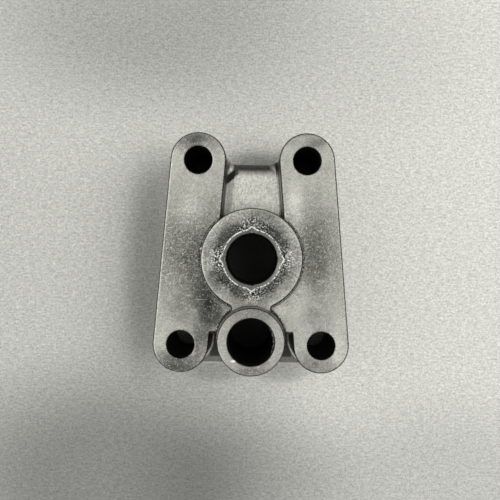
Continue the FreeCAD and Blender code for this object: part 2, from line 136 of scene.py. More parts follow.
class Graph:
    """Node tree of one material or world, with one method that makes any node."""

    def __init__(self, tree: bpy.types.NodeTree) -> None:
        """Clear the tree and start with nothing in it."""
        self.tree = tree
        tree.nodes.clear()

    @staticmethod
    def find(sockets: bpy.types.bpy_prop_collection, key: str) -> bpy.types.NodeSocket:
        """Socket of a node by its identifier, or by its name.

        Args:
            sockets: Inputs or outputs of the node.
            key: Identifier or name.

        Returns:
            The socket.
        """
        for socket in sockets:
            if socket.identifier == key:
                return socket
        return sockets[key]

    def node(self, kind: str, settings: dict | None = None, inputs: dict | None = None) -> bpy.types.Node:
        """Make a node.

        Args:
            kind: Blender's type name of the node.
            settings: Properties of the node, set first.
            inputs: Numbers, colours, signals or sockets by input name or identifier.

        Returns:
            The node.
        """
        node = self.tree.nodes.new(kind)
        for name, setting in (settings or {}).items():
            setattr(node, name, setting)
        for name, value in (inputs or {}).items():
            socket = self.find(node.inputs, name)
            if isinstance(value, Signal):
                self.tree.links.new(value.socket, socket)
            elif isinstance(value, bpy.types.NodeSocket):
                self.tree.links.new(value, socket)
            else:
                socket.default_value = value
        return node

    def math(self, operation: str, *values: Number) -> Signal:
        """Math node on numbers or signals.

        Args:
            operation: Blender's name of the operation.
            values: One or two operands.

        Returns:
            The result.
        """
        inputs = {("Value", "Value_001")[place]: value for place, value in enumerate(values)}
        node = self.node("ShaderNodeMath", {"operation": operation}, inputs)
        return Signal(self, node.outputs["Value"])

    def vector(self, operation: str, first: object, second: object = None, output: str = "Vector") -> Signal:
        """Vector Math node.

        Args:
            operation: Blender's name of the operation.
            first: First vector.
            second: Second vector, or the factor of a scaling.
            output: Name of the output.

        Returns:
            The result.
        """
        inputs = {"Vector": first}
        if second is not None:
            inputs["Scale" if operation == "SCALE" else "Vector_001"] = second
        node = self.node("ShaderNodeVectorMath", {"operation": operation}, inputs)
        return Signal(self, node.outputs[output])

    def distance(self, x: Signal, y: Signal, centre: Point) -> Signal:
        """Level distance from a centre: the root of the sum of both squares.

        Args:
            x: Place to the right.
            y: Place away from the tube.
            centre: Where the distance is 0.

        Returns:
            The distance.
        """
        dx = x - centre[0]
        dy = y - centre[1]
        return self.math("SQRT", dx * dx + dy * dy)

    def split(self, vector: Signal) -> tuple[Signal, Signal, Signal]:
        """Three coordinates of a vector."""
        node = self.node("ShaderNodeSeparateXYZ", inputs={"Vector": vector})
        return tuple(Signal(self, node.outputs[axis.value]) for axis in Axis)

    def join(self, x: Number, y: Number, z: Number) -> Signal:
        """Vector of three coordinates."""
        node = self.node("ShaderNodeCombineXYZ", inputs={"X": x, "Y": y, "Z": z})
        return Signal(self, node.outputs["Vector"])

    def millimetres(self) -> Signal:
        """Place on the piece, in millimetres."""
        coordinates = self.node("ShaderNodeTexCoord")
        return self.vector("SCALE", coordinates.outputs["Object"], 1 / MILLIMETRE)

    def noise(self, place: Signal, waves: float, detail: float = 2.0, roughness: float = 0.5) -> Signal:
        """Noise at a place.

        Args:
            place: Place on the piece.
            waves: Number of waves per unit.
            detail: How many finer layers are added.
            roughness: How strong the finer layers are.

        Returns:
            Noise from 0 to 1.
        """
        inputs = {"Vector": place, "Scale": waves, "Detail": detail, "Roughness": roughness}
        node = self.node("ShaderNodeTexNoise", None, inputs)
        return Signal(self, node.outputs["Fac"])

    def streaks(self, place: Signal, across: float, along: float, axis: Axis) -> Signal:
        """Noise drawn out along one axis.

        Args:
            place: Place on the piece.
            across: Waves per unit across the streaks.
            along: Waves per unit along the streaks.
            axis: Axis that the streaks follow.

        Returns:
            Noise from 0 to 1.
        """
        scale = [along if axis is each else across for each in Axis]
        return self.noise(self.vector("MULTIPLY", place, scale), 1.0)

    def mix(self, share: Number, first: object, second: object) -> Signal:
        """Colour between two colours.

        Args:
            share: Share of the second colour.
            first: Colour at 0.
            second: Colour at 1.

        Returns:
            The mixed colour.
        """
        inputs = {"Factor_Float": share, "A_Color": first, "B_Color": second}
        node = self.node("ShaderNodeMix", {"data_type": "RGBA"}, inputs)
        return Signal(self, self.find(node.outputs, "Result_Color"))

    def shade(self, colour: object, value: Signal) -> Signal:
        """Colour times a number."""
        return self.vector("SCALE", colour, value)

    def finish(self, shader: bpy.types.NodeSocket, kind: str = "ShaderNodeOutputMaterial") -> None:
        """Send a shader to the output of the tree."""
        self.node(kind, None, {"Surface": shader})


def rgba(colour: Colour) -> tuple[float, float, float, float]:
    """Colour with full alpha."""
    return (*colour, 1.0)


def new_material(name: str) -> tuple[bpy.types.Material, Graph]:
    """Material with an empty node graph.

    Args:
        name: Name of the material.

    Returns:
        The material and its graph.
    """
    material = bpy.data.materials.new(name)
    material.use_nodes = True
    return material, Graph(material.node_tree)


@dataclass(frozen=True)
class Tone:
    """Grey of one kind of skin: its colour and how rough it is."""

    colour: Colour
    roughness: float


@dataclass(frozen=True)
class Patch:
    """Soft oval patch on the upper faces, in millimetres. Strength is negative where it darkens."""

    centre: Point
    reach: Point
    strength: float

    def mask(self, graph: Graph, x: Signal, y: Signal, ragged: Number) -> Signal:
        """Mask of the patch.

        Args:
            graph: Graph of the material.
            x: Place to the right.
            y: Place away from the tube.
            ragged: Distance added, which makes the edge ragged.

        Returns:
            1 in the core, eased to 0 at the edge, both as shares of the reach.
        """
        across = (x - self.centre[0]) / self.reach[0]
        along = (y - self.centre[1]) / self.reach[1]
        distance = graph.math("SQRT", across * across + along * along) + ragged
        return distance.step(PATCH_EDGE, PATCH_CORE)


# patches on the tops of the legs: a few stains, most of them painted reflections of dark and bright
# surroundings, and painted shade beside the boss and the tube
LEG_STAINS_AND_PAINTED_LIGHT = (
    Patch((-18.2, 37.4), (3.4, 1.6), -0.45),
    Patch((20.8, 36.4), (3.0, 1.5), -0.40),
    Patch((-18.0, 38.5), (10.0, 6.0), -0.42),
    Patch((18.5, 38.0), (9.0, 4.5), -0.26),
    Patch((-18.6, -6.5), (3.6, 11.0), -0.30),
    Patch((-16.0, -14.0), (3.4, 7.0), -0.55),
    Patch((-16.4, -27.0), (3.6, 7.0), -0.45),
    Patch((-23.0, -36.2), (6.0, 3.2), -0.30),
    Patch((-20.5, -19.0), (6.5, 8.0), -0.30),
    Patch((-12.6, -20.0), (4.4, 7.0), -0.80),
    Patch((-16.2, -30.5), (3.2, 6.5), -0.50),
    Patch((-24.5, -37.0), (9.5, 5.5), -0.52),
    Patch((21.8, -1.5), (3.8, 13.0), -0.30),
    Patch((22.5, -37.5), (7.0, 3.5), -0.36),
    Patch((23.5, -22.0), (5.0, 6.0), -0.18),
    Patch((-19.5, 17.0), (4.5, 7.0), 0.16),
    Patch((-25.4, -38.2), (3.4, 1.3), -0.35),
    Patch((-16.0, -33.0), (1.3, 5.0), 0.45),
    Patch((21.2, -37.0), (1.5, 1.6), -0.35),
    Patch((14.2, 11.0), (3.4, 13.0), 0.50),
    Patch((15.6, -15.0), (3.6, 7.0), 0.30),
    Patch((-22.0, 37.4), (4.5, 3.6), -0.25),
    Patch((-14.2, -14.4), (3.6, 5.0), -0.46),
    Patch((-23.5, -19.0), (5.0, 6.0), -0.14),
    Patch((9.8, -19.6), (2.6, 2.6), 0.30),
    Patch((18.5, -19.5), (3.6, 4.0), -0.16),
    Patch((-23.0, -38.0), (8.0, 3.6), -0.16),
    Patch((28.5, -31.5), (3.4, 6.0), 0.22),
    Patch((18.4, -34.6), (3.6, 3.6), -0.25),
    Patch((13.0, 13.5), (3.2, 6.0), 0.26),
    Patch((-21.5, 11.5), (4.5, 6.5), 0.24),
)

# darker and lighter patches on the boss face
BOSS_PATCHES = (
    Patch((3.4, 12.4), (6.4, 3.4), -0.40),
    Patch((-4.0, -16.2), (7.5, 3.0), -0.30),
    Patch((-12.4, -10.6), (3.6, 4.4), -0.46),
    Patch((-11.4, 5.2), (3.6, 4.2), 0.34),
    Patch((3.6, -14.0), (4.8, 2.6), -0.40),
    Patch((12.6, 5.0), (3.4, 4.2), 0.26),
)

# small bright chips and scratches, and a painted glint on the inner edge of the tube's rim
CHIPS_AND_GLINT = (
    Patch((-25.9, 36.3), (0.55, 0.75), 1.0),
    Patch((-16.9, 1.2), (0.35, 0.35), 1.0),
    # painted glint
    Patch((-5.6, -34.6), (0.80, 0.45), 1.0),
    Patch((-21.0, -14.2), (1.60, 0.12), 0.5),
    Patch((-16.5, -15.6), (2.20, 0.10), 0.4),
    Patch((24.5, -24.0), (0.12, 2.40), 0.4),
)


def mount(name: str) -> dict:
    """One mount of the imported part, from its record."""
    return next(each for each in frame["record"]["mounts"] if each["name"] == name)


def mount_place(name: str) -> Place:
    """Place of a mount, in millimetres."""
    return tuple(each / MILLIMETRE for each in mount(name)["pos_m"])


@dataclass(frozen=True)
class Layout:
    """Places and sizes of the casting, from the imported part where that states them. In millimetres."""

    main_bore: Point = mount_place("main_bore")[:2]
    main_bore_radius: float = mount("main_bore")["dims"]["r_mm"]
    tube_bore: Point = mount_place("tube_bore")[:2]
    tube_bore_radius: float = mount("tube_bore")["dims"]["r_mm"]
    hole_row: float = mount_place("upper_bolt_holes")[1]
    upper_hole: float = mount("upper_bolt_holes")["dims"]["spacing_x_mm"] / 2
    lower_hole: float = mount("lower_bolt_holes")["dims"]["spacing_x_mm"] / 2
    hole_radius: float = mount("upper_bolt_holes")["dims"]["hole_r_mm"]
    deck_height: float = mount_place("upper_bolt_holes")[2]
    tube_height: float = CAD_BOX[1][2] / MILLIMETRE
    leg_radius: float = 9.2
    boss_height: float = 26.5
    boss_radius: float = 16.75
    mouth_reach: float = 10.6
    shoulder_radius: float = 11.5
    recess_height: float = 18.0
    recess_end: float = 30.9
    recess_start: float = 8.5
    ledge_height: float = 11.0

    @property
    def leg_slope(self) -> float:
        """How far a leg's axis leans out for each millimetre towards the tube."""
        return (self.lower_hole - self.upper_hole) / (2 * self.hole_row)


class Faces:
    """Masks of the casting's faces and edges, each from 0 to 1. Lengths in millimetres.

    The direction that a face looks in is its normal. Its third coordinate, here called up, is 1 on a level
    face, 0 on a wall and -1 on the underside.
    """

    near_reach: float = 1.1
    wide_reach: float = 4.0

    def __init__(self, graph: Graph, layout: Layout, rim_radius: float) -> None:
        """Measure the surface, then mask its faces, its hollows and its edges.

        Args:
            graph: Graph of the material.
            layout: Places and heights of the faces.
            rim_radius: How far from an edge the surface counts as rounded.
        """
        self.graph = graph
        self.layout = layout
        self.place = graph.millimetres()
        self.x, self.y, self.z = graph.split(self.place)
        self.normal = Signal(graph, graph.node("ShaderNodeNewGeometry").outputs["True Normal"])
        bevel = graph.node("ShaderNodeBevel", {"samples": 6}, {"Radius": rim_radius * MILLIMETRE})
        self.rounded = Signal(graph, bevel.outputs["Normal"])
        self.sideways, _, self.up = graph.split(self.normal)
        self.near = self.openness(self.near_reach)
        self.wide = self.openness(self.wide_reach)
        self.bore_distance = graph.distance(self.x, self.y, layout.main_bore)
        self.tube_distance = graph.distance(self.x, self.y, layout.tube_bore)
        self.beside = (layout.hole_row - self.y) * layout.leg_slope + layout.upper_hole - abs(self.x)
        self.mask_tops()
        self.mask_hollows()
        self.mask_edges()

    def openness(self, reach: float) -> Signal:
        """How open the surface is.

        Args:
            reach: How far other faces count.

        Returns:
            1 on an open face and less in a corner.
        """
        settings = {"only_local": True, "samples": 8}
        node = self.graph.node("ShaderNodeAmbientOcclusion", settings, {"Distance": reach * MILLIMETRE})
        return Signal(self.graph, node.outputs["AO"])

    def mask_tops(self) -> None:
        """Level faces: boss, rim of the tube, and deck, each at its own height."""
        layout = self.layout
        self.flat = self.up.step(0.80, 0.97)
        self.boss = self.z.band(layout.boss_height - 0.1, layout.boss_height + 0.1, 0.2) * self.flat
        self.rim = self.z.step(layout.tube_height - 0.5, layout.tube_height - 0.3) * self.flat
        self.deck = self.z.band(layout.deck_height - 0.2, layout.deck_height + 0.2, 0.2) * self.flat

    def mask_hollows(self) -> None:
        """Recess floor and its side walls, ledge, slots beside the tube, chamfered mouth, walls of bores."""
        layout = self.layout
        deck = layout.deck_height
        leg = layout.leg_radius
        recess = self.y.band(layout.recess_start, layout.recess_end, 0.5)
        recess = recess * self.z.step(deck - 0.4, deck - 0.8)
        floor = self.z.step(layout.recess_height + 5.5, layout.recess_height + 4.5)
        self.panel = recess * floor * self.up.step(0.12, 0.35) * self.beside.step(leg + 0.1, leg + 0.3)
        self.flank = recess * self.beside.step(leg - 0.6, leg - 0.4) * abs(self.sideways).step(0.4, 0.8)
        low = self.z.step(layout.ledge_height + 1.2, layout.ledge_height + 0.2)
        self.ledge = low * self.y.step(-25.0, -26.0) * self.up.step(0.3, 0.8)
        inward = self.graph.math("MAXIMUM", self.up.step(0.3, 0.7), abs(self.sideways).step(0.5, 0.95))
        beside_tube = self.y.band(-36.8, -22.0, 0.8) * abs(self.x).band(9.0, 14.2, 0.8)
        self.slot = self.z.band(layout.ledge_height - 4.0, deck - 0.6, 0.4) * beside_tube * inward
        high = self.z.step(deck - 0.6, deck - 0.1)
        within = self.bore_distance.step(layout.mouth_reach + 0.3, layout.mouth_reach)
        self.mouth = self.up.band(0.30, 0.90, 0.05) * high * within
        self.bored = self.mask_bores()

    def mask_bores(self) -> Signal:
        """Walls of all bores and bolt holes.

        Returns:
            1 within the radius of each and a small margin.
        """
        layout = self.layout
        inside = self.bore_distance.step(layout.main_bore_radius + 0.3, layout.main_bore_radius + 0.1)
        tube = self.tube_distance.step(layout.tube_bore_radius + 0.2, layout.tube_bore_radius + 0.05)
        inside = inside + tube
        for centre in ((layout.upper_hole, layout.hole_row), (layout.lower_hole, -layout.hole_row)):
            distance = self.graph.distance(abs(self.x), self.y, centre)
            inside = inside + distance.step(layout.hole_radius + 0.25, layout.hole_radius + 0.1)
        return inside

    def mask_edges(self) -> None:
        """Painted shade as a dark outline round the tops, a painted highlight as the bright rim inside it
        and along the ledge's lower edge, and painted shade at the foot of boss and tube.

        The rounded normal leans away from the true one only near an edge. How steep it is says how close the
        edge lies: nearest is the outline, and next to it the rim.
        """
        layout = self.layout
        tilt = self.graph.split(self.rounded)[2]
        turn = self.graph.vector("DOT_PRODUCT", self.rounded, self.normal, "Value")
        broken = self.graph.math("MAXIMUM", turn.step(0.9995, 0.985), self.up.band(0.30, 0.93, 0.04))
        high = self.z.step(layout.deck_height - 0.8, layout.deck_height - 0.5)
        crest = high * self.near.step(0.50, 0.75) * (1 - self.mouth) * broken
        # painted shade at the outer fall of each rounded top edge
        self.outline = tilt.step(0.972, 0.92) * crest
        # painted highlight: the bright rim inside the outline, and the ledge's lower edge
        self.edge_highlight = tilt.band(0.976, 0.995, 0.006) * crest + tilt.band(0.50, 0.94, 0.05) * self.ledge
        boss = layout.boss_radius
        shoulder = layout.shoulder_radius
        # painted shade at the foot of the boss and the tube
        boss_foot = self.bore_distance.band(boss - 0.1, boss + 0.67, 0.14)
        tube_foot = self.tube_distance.band(shoulder - 0.1, shoulder + 0.45, 0.14)
        self.foot_shade = self.deck * (boss_foot + tube_foot)


class Grain:
    """Noises of the cast skin, from wide clouds to grit, each from 0 to 1."""

    def __init__(self, graph: Graph, place: Signal) -> None:
        """Make the noises.

        Args:
            graph: Graph of the material.
            place: Place on the piece, in millimetres.
        """
        self.swell = graph.noise(place, 0.075, 1.0, 0.5)
        self.cloud = graph.noise(place, 0.12, 3.0, 0.6)
        self.blotch = graph.noise(place, 0.50, 3.0, 0.65)
        self.grit = graph.noise(place, 1.9, 2.0, 0.8)
        x, y, z = graph.split(place)
        self.scuff = graph.noise(graph.join((x + y * 0.6) * 0.35, (y - x * 0.6) * 1.9, z), 1.0, 2.0, 0.6)
        self.fleck = graph.noise(place, 2.3, 1.0, 0.5).step(0.58, 0.70)


class BossWearAndGlints:
    """Wear of the boss face: a dark ragged ring about the bore, and painted glints that fan out over it."""

    def __init__(self, graph: Graph, layout: Layout, faces: Faces) -> None:
        """Work out the ring, how the face darkens about it and lightens near its edge as a painted
        highlight, and the glints.

        Noise taken at the direction from the bore's axis is the same all along a radius, so it makes rays.

        Args:
            graph: Graph of the material.
            layout: Place of the bore.
            faces: Places on the casting.
        """
        radius = faces.bore_distance
        dx = faces.x - layout.main_bore[0]
        dy = faces.y - layout.main_bore[1]
        around = graph.join(dx / radius, dy / radius, radius * 0.02)
        fan = graph.noise(graph.vector("SCALE", around, 2.3), 1.0, 2.0, 0.5)
        rays = graph.noise(graph.join(dx / radius * 14.0, dy / radius * 14.0, radius * 0.35), 1.0, 2.0, 0.6)
        grit = graph.noise(faces.place, 2.4, 1.0, 0.6)
        ragged = (fan - 0.5) * 5.0 + (rays - 0.5) * 1.8 + (grit - 0.5) * 1.6
        ring = (radius + ragged).step(14.3, 11.6) * (0.60 + fan * 0.7)
        self.ring = ring * (1.0 - rays * 0.25) - radius.step(14.8, 16.0) * 0.15
        # darker about the ring, lighter near the boss's edge: painted highlight
        self.fade = radius.band(10.4, 14.0, 0.9) * 0.16 - radius.step(14.6, 16.2) * 0.08
        # painted glints, most at the points of the notches
        tips = graph.math("MAXIMUM", abs(dx).step(5.5, 1.0), abs(dy).step(5.5, 1.0))
        spread = (tips * 0.75 + fan.step(0.42, 0.62) * 0.45) * radius.step(15.8, 12.5)
        self.glints = grit.step(0.46, 0.66) * spread * 0.75 + grit.step(0.55, 0.72) * 0.224


@dataclass(frozen=True)
class CastFinish:
    """Die cast aluminium, tumbled, with bright rims that are painted highlights on partly worn edges,
    painted shade in its bores, corners and hollows, and painted reflections on its tops. Lengths in
    millimetres.
    """

    skin: Tone = Tone((0.50, 0.502, 0.450), 0.27)
    panel: Tone = Tone((0.78, 0.78, 0.705), 0.38)
    boss_face: Tone = Tone((0.56, 0.562, 0.510), 0.32)
    tube_rim: Tone = Tone((0.37, 0.37, 0.337), 0.38)
    mouth: Tone = Tone((0.36, 0.36, 0.33), 0.60)
    # dark: painted shade of the deep ledge beside the tube
    ledge: Tone = Tone((0.215, 0.215, 0.195), 0.45)
    # a little darker than the tops: painted shade of the walls
    wall: Tone = Tone((0.46, 0.462, 0.418), 0.42)
    # near black: painted shade deep in the bores and bolt holes
    bore: Tone = Tone((0.06, 0.06, 0.055), 0.50)
    bright: Colour = (0.88, 0.88, 0.81)
    rim_radius: float = 0.85
    frost: float = 0.55
    grain_depth: float = 0.005
    swell_depth: float = 0.11
    base_value: float = -0.42
    cloud_share: float = 0.50
    blotch_share: float = 0.50
    grit_share: float = 1.45
    scuff_share: float = 0.45
    deck_flecks: float = 0.34
    rim_flecks: float = 0.40
    boss_flecks: float = 0.22
    edge_shade: float = 0.92
    hollow_shade: float = 0.70
    least_grain: float = 0.35
    least_value: float = 0.03

    def material(self, layout: Layout) -> bpy.types.Material:
        """Build the material of the casting.

        Args:
            layout: Places of its faces and bores.

        Returns:
            The material.
        """
        material, graph = new_material("cast_aluminium_skin")
        faces = Faces(graph, layout, self.rim_radius)
        grain = Grain(graph, faces.place)
        wear = BossWearAndGlints(graph, layout, faces)
        colour, roughness = self.tones(graph, faces)
        colour = graph.shade(colour, self.brightness(graph, faces, grain, wear))
        glints = self.glints(graph, faces, grain, wear)
        matt = grain.fleck * faces.deck * 0.15 + faces.boss * wear.glints * 0.25
        inputs = {
            "Base Color": graph.mix(glints, colour, rgba(self.bright)),
            "Roughness": roughness + (grain.grit - 0.5) * 0.20 + matt,
            "Metallic": 1 - glints * self.frost,
            "Normal": self.relief(graph, faces, grain),
        }
        graph.finish(graph.node("ShaderNodeBsdfPrincipled", None, inputs).outputs["BSDF"])
        return material

    def tones(self, graph: Graph, faces: Faces) -> tuple[Signal, Signal]:
        """Tones of the faces, before any mark.

        Args:
            graph: Graph of the material.
            faces: Masks of the faces.

        Returns:
            Colour and roughness.
        """
        colour = graph.mix(faces.flat, rgba(self.wall.colour), rgba(self.skin.colour))
        roughness = self.wall.roughness + faces.flat * (self.skin.roughness - self.wall.roughness)
        tones = (
            (faces.boss, self.boss_face),
            (faces.rim, self.tube_rim),
            (faces.panel, self.panel),
            (faces.ledge, self.ledge),
            (faces.bored, self.bore),
            (faces.mouth, self.mouth),
        )
        for mask, tone in tones:
            colour = graph.mix(mask, colour, rgba(tone.colour))
            roughness = roughness + mask * (tone.roughness - roughness)
        return colour, roughness

    def brightness(self, graph: Graph, faces: Faces, grain: Grain, wear: BossWearAndGlints) -> Signal:
        """Share of the colour's brightness: grain, times stains with painted reflections and shade, times
        marks with painted light, times painted shade of corners, edges and hollows.

        Args:
            graph: Graph of the material.
            faces: Masks of the faces.
            grain: Noises of the skin.
            wear: Wear of the boss face, with a painted highlight near its edge.

        Returns:
            The share, about 1 on clean open skin.
        """
        value = self.base_value + grain.cloud * self.cloud_share + grain.blotch * self.blotch_share
        value = value + grain.grit * self.grit_share + grain.scuff * self.scuff_share
        value = graph.math("MAXIMUM", value, self.least_grain)
        # stains, painted reflections and painted shade on the legs; darker and lighter patches on the boss
        for mask, patches in ((faces.deck, LEG_STAINS_AND_PAINTED_LIGHT), (faces.boss, BOSS_PATCHES)):
            value = value * (1 - mask + mask * self.patch_brightness(graph, patches, faces, grain))
        # streaks, stains and painted light on the recess floor and the tube's rim
        value = value * (1 + faces.panel * self.panel_streaks_and_painted_light(graph, faces))
        value = value * (1 + faces.rim * self.rim_stain_and_painted_light(graph, faces, grain))
        value = value * (1 - faces.boss * wear.ring)
        # grit of the boss face, darker about the ring, and a painted highlight near its edge
        value = value * (1 + faces.boss * ((grain.grit - 0.5) * 1.3 - wear.fade))
        # painted shade in corners and hollows
        value = value * (0.25 + faces.near.step(0.50, 0.97) * 0.75) * (0.55 + faces.wide * 0.45)
        # painted shade along the outline of the tops and at the foot of boss and tube
        value = value * (1 - faces.outline * self.edge_shade) * (1 - faces.foot_shade * self.edge_shade)
        # painted shade on the recess side walls and in the slots beside the tube
        value = value * (1 - faces.flank * self.hollow_shade) * (1 - faces.slot * self.hollow_shade)
        return graph.math("MAXIMUM", value, self.least_value)

    def patch_brightness(self, graph: Graph, patches: tuple[Patch, ...], faces: Faces, grain: Grain) -> Signal:
        """Darker and lighter patches of a top face.

        Args:
            graph: Graph of the material.
            patches: The patches, darker or lighter.
            faces: Places on the casting.
            grain: Noises of the skin, which make the edges ragged.

        Returns:
            Share of brightness that they leave.
        """
        ragged = (grain.blotch - 0.5) * 0.6
        left_over = 1.0
        for patch in patches:
            left_over = (1 + patch.mask(graph, faces.x, faces.y, ragged) * patch.strength) * left_over
        return left_over

    def panel_streaks_and_painted_light(self, graph: Graph, faces: Faces) -> Signal:
        """Brightness added on the recess floor.

        Args:
            graph: Graph of the material.
            faces: Places on the casting.

        Returns:
            Streaks along the floor and a dark line beside the right leg, with painted light: a painted
            highlight beside each leg, painted shade beside the left leg and lighter beside the right, and
            painted shade in the left corner and at the far end.
        """
        x, y, beside = faces.x, faces.y, faces.beside
        lines = graph.streaks(faces.place, 1.5, 0.45, Axis.Y) - 0.3
        lines = lines + graph.noise(faces.place, 1.6, 2.0, 0.7) * 0.6
        left = x.step(0.0, -3.0)
        right_dark_line = beside.band(9.92, 10.12, 0.16) * (1 - left)
        # painted highlight on the fillet beside each leg
        line = beside.band(9.40, 9.60, 0.12) * (0.35 + left * 0.5)
        # painted shade beside the left leg, lighter beside the right
        line = line - beside.band(9.9, 12.0, 0.3) * (left - 0.35) * 0.4
        # painted shade in the left corner and at the far end of the floor
        slant = (y - 25.7) * 0.76 - (x + 8.85) * 0.65 + (lines - 0.5) * 0.8
        corner = slant.band(-1.3, 0.1, 0.9) * x.step(-3.2, -5.2)
        end = y.step(25.2, 29.0) * x.step(-7.5, -5.5)
        dark = graph.math("MAXIMUM", corner, end) * 0.90
        return (lines - 0.5) * 0.9 * (1 - dark) - right_dark_line * 0.75 + line - dark

    def rim_stain_and_painted_light(self, graph: Graph, faces: Faces, grain: Grain) -> Signal:
        """Brightness added on the tube's rim.

        Args:
            graph: Graph of the material.
            faces: Places on the casting.
            grain: Noises of the skin.

        Returns:
            A dark stain at the front, and painted reflections: pale sides and a darker stretch towards the
            boss.
        """
        centre = (faces.layout.tube_bore[0] + 0.2, faces.layout.tube_bore[1] - 9.2)
        stain = Patch(centre, (4.6, 1.2), 1.0).mask(graph, faces.x, faces.y, (grain.grit - 0.5) * 2.0)
        # painted reflection: pale sides, darker towards the boss
        sides = abs(faces.x).step(4.0, 8.0) * faces.y.step(-38.5, -33.0)
        return sides * 0.30 - stain * 0.40 - faces.y.step(-25.0, -20.0) * 0.10

    def glints(self, graph: Graph, faces: Faces, grain: Grain, wear: BossWearAndGlints) -> Signal:
        """Bright bare metal and painted highlights: bright rims that are painted highlights on partly worn
        edges, painted glints on the boss, flecks on the tops, and chips.

        Args:
            graph: Graph of the material.
            faces: Masks of the faces.
            grain: Noises of the skin.
            wear: Wear and painted glints of the boss face.

        Returns:
            Its share, from 0 to 1.
        """
        # painted highlight along the rounded edges and the ledge's lower edge
        rims = faces.edge_highlight * (0.1 + grain.blotch * 1.5) * (1 + faces.boss * 0.7)
        flecks = faces.deck * self.deck_flecks + faces.rim * self.rim_flecks + faces.boss * self.boss_flecks
        glints = rims + faces.boss * wear.glints + flecks * grain.fleck
        ragged = (grain.grit - 0.5) * 0.8
        upward = faces.up.step(0.5, 0.8)
        # chips and scratches, and a painted glint on the tube's rim
        for chip in CHIPS_AND_GLINT:
            glints = glints + chip.mask(graph, faces.x, faces.y, ragged) * chip.strength * upward
        return graph.math("MINIMUM", glints, 1.0)

    def relief(self, graph: Graph, faces: Faces, grain: Grain) -> Signal:
        """Relief of the skin.

        Args:
            graph: Graph of the material.
            faces: Rounded normal of the faces.
            grain: Noises of the skin.

        Returns:
            The rounded normal, bumped by the swell, the blotches and the grit in turn.
        """
        heights = (
            (grain.swell, self.swell_depth),
            (grain.blotch, self.grain_depth * 2),
            (grain.grit, self.grain_depth),
        )
        facing = faces.rounded
        for height, depth in heights:
            inputs = {"Strength": 1.0, "Distance": depth * MILLIMETRE, "Height": height, "Normal": facing}
            facing = Signal(graph, graph.node("ShaderNodeBump", None, inputs).outputs["Normal"])
        return facing


@dataclass(frozen=True)
class BareMetal:
    """Bright bare metal of a burr, mottled, with a painted highlight all over at the points of the notches.
    """

    dark: Colour = (0.10, 0.10, 0.09)
    bright: Colour = (0.92, 0.92, 0.87)
    metallic: float = 0.35
    roughness: float = 0.35

    def material(self, layout: Layout) -> bpy.types.Material:
        """Build the material.

        Args:
            layout: Place of the main bore, whose notches point across and along.

        Returns:
            The material.
        """
        material, graph = new_material("burr_metal")
        place = graph.millimetres()
        x, y, _ = graph.split(place)
        grain = graph.noise(place, 2.2, 2.0, 0.6)
        # painted highlight at the points of the notches
        points = graph.math("MAXIMUM", abs(x).step(1.6, 0.8), abs(y - layout.main_bore[1]).step(1.6, 0.8))
        bare = graph.math("MAXIMUM", grain.step(0.42, 0.54), points * 0.85)
        inputs = {
            "Base Color": graph.mix(bare, rgba(self.dark), rgba(self.bright)),
            "Metallic": self.metallic,
            "Roughness": self.roughness + grain * 0.25,
        }
        graph.finish(graph.node("ShaderNodeBsdfPrincipled", None, inputs).outputs["BSDF"])
        return material


